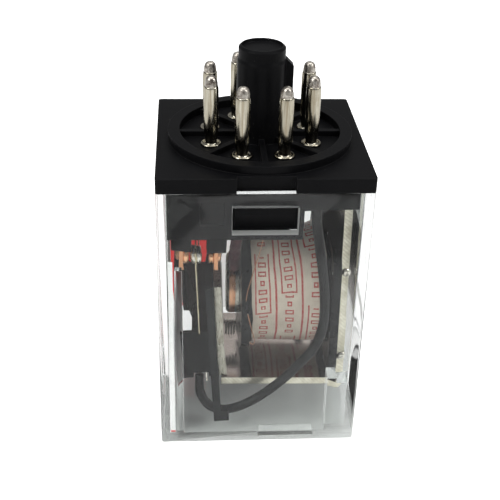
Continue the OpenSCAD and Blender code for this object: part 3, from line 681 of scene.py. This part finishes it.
tipSolder = solderFinish()
leadCovering = rubberFinish()
wovenSleeve = sleeveFinish()
printedTape = tapeFinish(tapeSet)
enamelledWinding = windingFinish()
clearStyrene = coverFinish(coverSet)
inkRed, inkGrey = (0.56, 0.022, 0.02), (0.22, 0.22, 0.22)
rearInk = [((-15.1, 5.0), (-8.5, 39.1), inkRed), ((-4.6, 33.0), (14.2, 34.0), inkGrey),
           ((-4.6, 30.2), (14.2, 30.8), inkGrey), ((-4.6, 12.0), (14.2, 12.4), inkGrey)]
sideInk = [((-15.3, 0.0), (15.3, 1.9), inkRed), ((-12.0, 26.0), (12.0, 26.6), inkGrey),
           ((-12.0, 22.0), (12.0, 22.6), inkGrey)]
# the last number is the strength of each film's painted glow
rearFilm = labelFinish("rearFilm", 0, rearInk, 0.62)
sideFilm = labelFinish("sideFilm", 1, sideInk, 0.35)
print("special finishes made")


# ---------- finishes on the CAD nodes that stay ----------
nodeFinish = {
    "base": basePlastic, "yoke": yokeIron, "yoke_rivets": rivetBright, "core": coreIron,
    "shading_ring": shadingCopper, "bobbin": bobbinPlastic, "coil_winding": enamelledWinding,
    "nc_strip_front": copperStrip, "nc_strip_rear": copperStrip,
    "no_strip_front": copperStrip, "no_strip_rear": copperStrip,
    "armature": armatureIron, "armature_card": cardPlastic, "contact_block": blockPlastic,
    "armature_rivets": rivetBright, "spring_tag_front": rivetBright, "spring_tag_rear": rivetBright,
    "moving_spring_front": springBronze, "moving_spring_rear": springBronze, "side_label": sideFilm,
}
for key, finish in nodeFinish.items():
    nodes[key].data.materials[0] = finish


# ---------- cover ----------
cover = beveled("coverShell", "cover", clearStyrene, 0.00022, "root")


# ---------- labels ----------
labelSet = {"corner": 0.8, "thick": 0.14, "around": 32}


def addLabel(name, node, finish):
    # rounded sheet from the node's own box, its back on the box's rear face
    v = labelSet
    low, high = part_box(node)
    cx, cz = (low[0] + high[0]) / 2, (low[2] + high[2]) / 2
    hx, hz = (high[0] - low[0]) / 2, (high[2] - low[2]) / 2
    r, n = v["corner"] * mm, v["around"]
    a = np.linspace(0, 2 * math.pi, n + 1)[:-1] + math.pi / n
    sheet = np.zeros((2, n, 3))
    sheet[:, :, 0] = cx + (np.sign(np.cos(a)) * (hx - r) + r * np.cos(a))
    sheet[:, :, 2] = cz + (np.sign(np.sin(a)) * (hz - r) + r * np.sin(a))
    sheet[0, :, 1], sheet[1, :, 1] = high[1], high[1] - v["thick"] * mm
    piece = addPiece(name, sheet, gridFaces(2, n, True), finish, "root", latheCaps(2, n), False)
    bm = bmesh.new()
    bm.from_mesh(piece.data)
    bmesh.ops.recalc_face_normals(bm, faces=bm.faces)
    bm.to_mesh(piece.data)
    bm.free()
    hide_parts(node)


addLabel("rearLabelFilm", "rear_label", rearFilm)
print("cover and labels made")


# ---------- plug pins ----------
pinSet = {
    "circle": 17.45 / 2, "deck": 50.8, "around": 64, "tipRows": 26,
    # radius and height above the deck, from the flared foot up the shank to the rim round the solder
    "shape": [(0.75, 0.0), (1.52, 0.0), (1.66, 0.10), (1.68, 0.22), (1.60, 0.36), (1.46, 0.43), (1.30, 0.40),
              (1.16, 0.28), (1.04, 0.30), (0.97, 0.48), (0.94, 0.80), (0.97, 1.15), (1.04, 1.6), (1.11, 2.2),
              (1.16, 3.0), (1.18, 4.0), (1.18, 5.6), (1.18, 7.2), (1.18, 8.8), (1.165, 9.3), (1.14, 9.6),
              (1.11, 9.76), (1.06, 9.84), (0.98, 9.86), (0.5, 9.84)],
    "tip": [(0.6, 9.7), (1.04, 9.75), (1.05, 9.9), (1.03, 10.2), (1.0, 10.5), (0.93, 10.82), (0.83, 11.1),
            (0.69, 11.3), (0.48, 11.41), (0.22, 11.45), (0.04, 11.46)],
    "dent": 0.01, "lump": 0.018, "wave": 0.04,
}


def densify(shape, count):
    # the profile's points resampled evenly along its length
    p = np.asarray(shape, float)
    s = np.concatenate([[0], np.cumsum(np.linalg.norm(np.diff(p, axis=0), axis=1))])
    t = np.linspace(0, s[-1], count)
    return np.stack([np.interp(t, s, p[:, 0]), np.interp(t, s, p[:, 1])], -1)


def pinPlace(k):
    angle = math.radians(-(k - 0.5) * 45)
    out = np.array([math.cos(angle), math.sin(angle), 0])
    return out * pinSet["circle"] * mm + [0, 0, pinSet["deck"] * mm]


def addPins(v):
    a = np.linspace(0, 2 * math.pi, v["around"], endpoint=False)[None, :]
    shank = np.asarray(v["shape"])
    tip = densify(v["tip"], v["tipRows"])
    tips, tipFaces, tipCaps = [], [], []
    for k in range(1, 9):
        grid = lathe(shank * mm, v["around"])
        h = shank[:, 1][:, None] * 0.8
        soft = np.clip((h - 1) / 2, 0, 1)
        grid[..., :2] *= (1 + v["dent"] * soft * ripple(a, h + 0 * a, 20 + k, 5, 4))[..., None]
        piece = addPiece("plugPin%d" % k, grid + pinPlace(k), gridFaces(len(shank), v["around"], True),
                         pinNickel, "root", latheCaps(len(shank), v["around"]))
        sharpen(piece, 70)
        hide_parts("plug_pin_%d" % k)
        bead = lathe(tip * mm, v["around"])
        h = tip[:, 1][:, None] * 2.2
        bead[..., :2] *= (1 - v["lump"] + v["lump"] * ripple(a, h + 0 * a, 40 + k, 7, 6))[..., None]
        top = np.clip(tip[:, 1] - 10, 0, 1)[:, None]
        bead[..., 2] += v["wave"] * mm * ripple(a, h + 0 * a, 60 + k, 5, 4) * top
        start = (k - 1) * bead[..., 0].size
        tips.append((bead + pinPlace(k)).reshape(-1, 3))
        tipFaces.append(gridFaces(len(tip), v["around"], True) + start)
        tipCaps += [[start + i for i in c] for c in latheCaps(len(tip), v["around"])]
    piece = addPiece("pinTipBeads", np.concatenate(tips), np.concatenate(tipFaces), tipSolder, "root",
                     tipCaps)
    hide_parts("pin_tip_solder")


addPins(pinSet)
print("pins made")


# ---------- coil tape ----------
coilSet = {
    "axis": 21.9, "radius": 9.97, "low": -1.5, "high": 12.02, "thick": 0.16, "wave": 0.035,
    # how far the ends turn in, and over what length
    "turnIn": 0.16, "over": 0.14, "rows": 90, "around": 160,
}


def addTape(v):
    # a sleeve about the coil's axis: its radius waves gently along and round, and both ends turn in
    x = np.linspace(v["low"], v["high"], v["rows"])[:, None]
    a = np.linspace(0, 2 * math.pi, v["around"], endpoint=False)[None, :]
    end = np.minimum(x - v["low"], v["high"] - x)
    wave = v["wave"] * (ripple(a, x * 0.8, 5, 7, 5) - 1) * np.clip(end, 0, 1)
    r = v["radius"] - v["turnIn"] * np.exp(-end / v["over"]) + wave
    outer = np.stack([np.broadcast_to(x, r.shape), -r * np.sin(a), v["axis"] + r * np.cos(a)], -1)
    s = r - v["thick"]
    inner = np.stack([np.broadcast_to(x, r.shape), -s * np.sin(a), v["axis"] + s * np.cos(a)], -1)[::-1]
    grid = np.concatenate([outer, inner, outer[:1]]) * mm
    rows, cols = grid.shape[:2]
    faces = gridFaces(rows, cols, True)[:, ::-1]
    faces = np.where(faces >= (rows - 1) * cols, faces - (rows - 1) * cols, faces)
    piece = addPiece("coilTape", grid[:-1], faces, printedTape, "root")
    height = np.concatenate([x[:, 0], x[::-1, 0], x[:1, 0]])
    mapWrapped(piece, rows, cols, 2 * math.pi * v["radius"] / cols, height, True)
    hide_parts("coil_tape")


addTape(coilSet)


# ---------- black insulation round the coil's ends ----------
wrapSet = {
    "leftEdge": -1.62, "rightEdge": 12.11, "radius": 10.06, "thick": 0.16, "rows": 9, "around": 260,
    # shares by which the width wanders and frays, and the radius's ripple and crown in mm
    "wander": 0.45, "fray": 0.3, "ripple": 0.05, "crown": 0.06,
}


def addWrap(name, edge, way, seed, wide):
    # ribbon round the coil beside a flange, its free edge torn: the width waves with many small terms
    v = wrapSet
    a = np.linspace(0, 2 * math.pi, v["around"], endpoint=False)[None, :]
    t = np.linspace(0, 1, v["rows"])[:, None]
    width = wide * (1 + v["wander"] * ripple(a, 0 * a, seed, 9, 9)
                    + v["fray"] * ripple(a, 0 * a, seed + 1, 9, 30))
    x = edge + way * width * t
    r = v["radius"] + v["ripple"] * ripple(a, t * 3, seed + 2, 6, 8) + v["crown"] * np.sin(math.pi * t)
    grid = np.stack([x, -r * np.sin(a), coilSet["axis"] + r * np.cos(a)], -1) * mm
    faces = gridFaces(v["rows"], v["around"], True)
    piece = addPiece(name, grid, faces[:, ::-1] if way > 0 else faces, bobbinPlastic, None)
    wall = piece.modifiers.new("wall", "SOLIDIFY")
    wall.thickness = v["thick"] * mm
    wall.offset = -1
    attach(piece, "root")


addWrap("leftCoilWrap", wrapSet["leftEdge"], 1, 11, 0.55)
addWrap("rightCoilWrap", wrapSet["rightEdge"], -1, 17, 0.5)
print("coil made")


# ---------- sleeves on the coil's pole side ----------
sleeveSet = {"x": -4.13, "y": 5.2, "low": 27.9, "high": 39.8, "radius": 1.08, "crimp": 0.07,
             "rows": 150, "around": 40}


def addSleeve(name, node, side):
    # soft tube whose radius puckers in uneven rings
    v = sleeveSet
    rows, cols = v["rows"], v["around"]
    z = np.linspace(v["low"], v["high"], rows)[:, None]
    a = np.linspace(0, 2 * math.pi, cols, endpoint=False)[None, :]
    rings = 0.5 * np.sin(z * 5.1) + 0.3 * np.sin(z * 11.7 + 1) + 0.35 * ripple(a, z * 1.3, 31 + side, 6, 5)
    pinch = np.minimum(1, 0.72 + np.minimum(z - v["low"], v["high"] - z) * 1.2)
    r = v["radius"] * pinch + v["crimp"] * rings
    x, y = v["x"] + r * np.cos(a), side * v["y"] + r * np.sin(a)
    grid = np.stack([x, y, np.broadcast_to(z, r.shape)], -1) * mm
    piece = addPiece(name, grid, gridFaces(rows, cols, True), wovenSleeve, "root", latheCaps(rows, cols))
    mapWrapped(piece, rows, cols, 2 * math.pi * v["radius"] / cols, z[:, 0])
    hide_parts(node)


addSleeve("coilSleeveFront", "coil_sleeve_front", -1)
addSleeve("coilSleeveRear", "coil_sleeve_rear", 1)


# ---------- fine coil wires ----------
wireSet = {
    "radius": 0.075,
    "start": [(0.6, -10.6, 39.75), (0.4, -10.5, 37.2), (-0.2, -10.4, 34.2), (-0.9, -10.4, 31.6),
              (-1.5, -10.4, 29.2), (-2, -10.5, 27.2), (-2.2, -10.7, 25.6)],
    "end": [(-1.9, -11.2, 23.4), (-1.6, -11.3, 21.8), (-1.2, -11.3, 19.8), (-0.9, -11.3, 18.4),
            (-0.8, -11.2, 17.5), (-1.1, -11.1, 17), (-1.6, -11.1, 17.3)],
}


def addWire(name, node, route):
    path = smoothPath(route, 90) * mm
    piece = closeTube(name, tubeGrid(path, wireSet["radius"] * mm, 10, (0, 1, 0)), wireCopper, "root")
    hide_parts(node)


addWire("coilStartWire", "coil_start_wire", wireSet["start"])
addWire("coilEndWire", "coil_end_wire", wireSet["end"])


# ---------- contact rivets ----------
contactSet = {
    "z": 32.8, "y": 8.5, "tailFar": 0.6, "headFar": 0.9, "strip": 0.66, "ncFace": -11.76, "noFace": -8.69,
    "springFoot": (-10.3, 18.87), "lean": 1.85, "springHalf": 0.1, "movingHigh": 0.8,
    # radii of the fixed head and tail, of the moving head and of the neck
    "head": 1.4, "tail": 1.05, "moving": 1.3, "neck": 0.62, "around": 40,
}


def rivetProfile(head, tail, r, tailR, half):
    # radius and place along the rivet's axis: domed tail, neck inside the strip, then the domed head
    return np.array([
        (0.05, -half - tail), (0.5 * tailR, -half - tail * 0.97), (0.85 * tailR, -half - tail * 0.8),
        (tailR, -half - tail * 0.5), (tailR, -half - 0.03), (contactSet["neck"], -half),
        (contactSet["neck"], half), (r - 0.04, half),
        (r, half + 0.1), (r, half + head * 0.72), (r - 0.12, half + head * 0.93), (0.6 * r, half + head),
        (0.05, half + head)])


def addRivet(name, node, x, side, way, head, tail, r, tailR, half, finish, body, lean=0.0):
    v = contactSet
    shape = rivetProfile(head, tail, r, tailR, half)
    grid = lathe(shape, v["around"], "x")
    grid[..., 0] *= way
    faces, caps = gridFaces(len(shape), v["around"], True), latheCaps(len(shape), v["around"])
    if way < 0:
        faces, caps = turned(faces, caps)
    if lean:
        foot = v["springFoot"]
        grid[..., 2] += (v["z"] - foot[1]) / math.cos(lean)
        gx, gz = grid[..., 0].copy(), grid[..., 2].copy()
        grid[..., 0] = foot[0] + gx * math.cos(lean) - gz * math.sin(lean)
        grid[..., 2] = foot[1] + gx * math.sin(lean) + gz * math.cos(lean)
    else:
        grid[..., 0] += x
        grid[..., 2] += v["z"]
    grid[..., 1] += side * v["y"]
    piece = addPiece(name, grid * mm, faces, finish, body, caps)
    sharpen(piece, 50)
    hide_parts(node)
    return piece


def addContacts(v):
    for side, place in ((-1, "Front"), (1, "Rear")):
        low = place.lower()
        nc = v["ncFace"] - v["headFar"] - v["strip"] / 2
        no = v["noFace"] + v["headFar"] + v["strip"] / 2
        for name, x, way in (("nc", nc, 1), ("no", no, -1)):
            piece = addRivet(name + "Contact" + place, "%s_contact_%s" % (name, low), x, side, way,
                             v["headFar"], v["tailFar"], v["head"], v["tail"], v["strip"] / 2, copperBright,
                             "root")
        piece = addRivet("movingContact" + place, "moving_contact_" + low, 0, side, 1, v["movingHigh"],
                         v["movingHigh"], v["moving"], v["moving"], v["springHalf"], contactSilver,
                         "contact_springs", math.radians(v["lean"]))


addContacts(contactSet)
print("contacts made")


# ---------- bright stakes on the upright's edges ----------
stakeSet = {
    "x": 14.3, "y": 9.5, "z": (13.5, 29.3), "around": 28,
    "shape": [(0.05, 0.46), (0.3, 0.44), (0.5, 0.37), (0.66, 0.24), (0.74, 0.1), (0.74, -0.02), (0.4, -0.04)],
}


def addStakes(v):
    # one low dome per stake, swung round a line along Y
    shape = np.asarray(v["shape"])
    for side, place in ((-1, "Front"), (1, "Rear")):
        for number, z in enumerate(v["z"], 1):
            dome = lathe(shape, v["around"])[..., [0, 2, 1]]
            dome[..., 1] *= side
            faces, caps = gridFaces(len(shape), v["around"], True), latheCaps(len(shape), v["around"])
            if side < 0:
                faces, caps = turned(faces, caps)
            grid = (dome + [v["x"], side * v["y"], z]) * mm
            piece = addPiece("stake%s%d" % (place, number), grid, faces, rivetBright, "root", caps)


addStakes(stakeSet)


# ---------- flexible leads ----------
leadSet = {
    "radius": 0.8, "count": 220,
    "route": [(8.2, -12.1, 44.75), (8.5, -12.1, 42.6), (8.8, -12.1, 40), (9.2, -12.1, 37.4),
              (9.6, -12.1, 34.6), (10.1, -12.1, 31.4), (10.5, -12.1, 28.2), (10.7, -12.1, 25),
              (10.7, -12.1, 22), (10.2, -12.1, 19.2), (9.1, -12.1, 16.6), (7.4, -12.1, 14.3),
              (5.5, -12.1, 12), (3.4, -12.1, 9.8), (1.2, -12, 7.8), (-1.2, -11.9, 6), (-3.6, -11.8, 4.7),
              (-6, -11.6, 4), (-8, -11.2, 4.2), (-9.4, -10.6, 5.1), (-10.2, -9.8, 6.6),
              (-10.3, -9.1, 8.2), (-10.3, -8.7, 9.6)],
}


def addLead(name, node, side):
    # a round lead along its route, held in the base at the top and by the tag under the contact block
    v = leadSet
    path = smoothPath(v["route"], v["count"]) * mm
    path[:, 1] *= -side
    t = np.linspace(0, 1, v["count"])
    radius = v["radius"] * mm * (1 + 0.012 * np.sin(t * 47) + 0.008 * np.sin(t * 113 + 1))
    piece = closeTube(name, tubeGrid(path, radius, 24, (0, 1, 0)), leadCovering, None)
    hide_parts(node)
    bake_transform(piece)


addLead("leadFront", "flexible_lead_front", -1)
addLead("leadRear", "flexible_lead_rear", 1)


# ---------- return spring ----------
springSet = {"from": -5.5, "to": -3.13, "radius": 1.15, "wire": 0.15, "turns": 4.5, "z": 13.0}


def addReturnSpring(v):
    # helix about a line along X
    u = np.linspace(0, 1, 260)
    a = 2 * math.pi * v["turns"] * u
    x = v["from"] + u * (v["to"] - v["from"])
    path = np.stack([x, v["radius"] * np.cos(a), v["z"] + v["radius"] * np.sin(a)], -1) * mm
    piece = closeTube("returnSpring", tubeGrid(path, v["wire"] * mm, 12, (1, 0, 0)), springSteel, None)
    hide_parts("return_spring")
    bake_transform(piece)


addReturnSpring(springSet)
print("leads and spring made")


# ---------- floor and light ----------
lightSet = {
    "world": 0.30, "floor": (0.93, 0.93, 0.93), "half": 3.0,
    # the floor's own glow, as the camera sees it and as it shows through the cover
    "seen": 0.55, "through": 0.045,
    # name, place, aimed at, size, watts
    "boxes": [("leftBox", (-0.55, -0.35, 0.55), (0, 0, 0.03), 0.45, 3.6),
              ("rightBox", (0.6, -0.25, 0.45), (0, 0, 0.03), 0.35, 2.4),
              ("topBox", (0.05, 0.15, 0.75), (0, 0, 0.0), 0.6, 3.6)],
}


def addStage(v):
    half = v["half"]
    sheet = np.array([(-half, -half, 0), (half, -half, 0), (half, half, 0), (-half, half, 0)])
    mat, tree, shader, out, where = startMaterial("studioFloor")
    cloud = spread(tree, noise(tree, where, 3.0, 2.0), 0, 1)
    colour = blendColour(tree, cloud, tuple(c * 0.985 for c in v["floor"]), v["floor"])
    tree.links.new(colour, shader.inputs["Base Color"])
    # the paper looks white to the camera, but bounces no more than it receives
    path = put(tree, "ShaderNodeLightPath")
    seen = calc(tree, "MULTIPLY", path.outputs["Is Camera Ray"], v["seen"])
    seen = calc(tree, "MULTIPLY_ADD", path.outputs["Is Transmission Ray"], v["through"], seen)
    tree.links.new(seen, shader.inputs["Emission Strength"])
    shader.inputs["Emission Color"].default_value = (1, 1, 1, 1)
    shader.inputs["Roughness"].default_value = 0.9
    shader.inputs["Specular IOR Level"].default_value = 0.1
    floor = addPiece("studioFloor", sheet, np.array([[0, 1, 2, 3]]), mat, None)
    world = bpy.data.worlds.new("studio")
    world.use_nodes = True
    back = world.node_tree.nodes["Background"]
    back.inputs[0].default_value = (1, 1, 1, 1)
    back.inputs[1].default_value = v["world"]
    bpy.context.scene.world = world
    for name, place, aim, wide, watts in v["boxes"]:
        data = bpy.data.lights.new(name, "AREA")
        data.shape = "SQUARE"
        data.size = wide
        data.energy = watts
        lamp = bpy.data.objects.new(name, data)
        lamp.location = place
        lamp.rotation_euler = (Vector(aim) - Vector(place)).to_track_quat("-Z", "Y").to_euler()
        bpy.context.scene.collection.objects.link(lamp)
    bpy.context.scene.view_settings.view_transform = "Standard"


addStage(lightSet)
print("stage made")
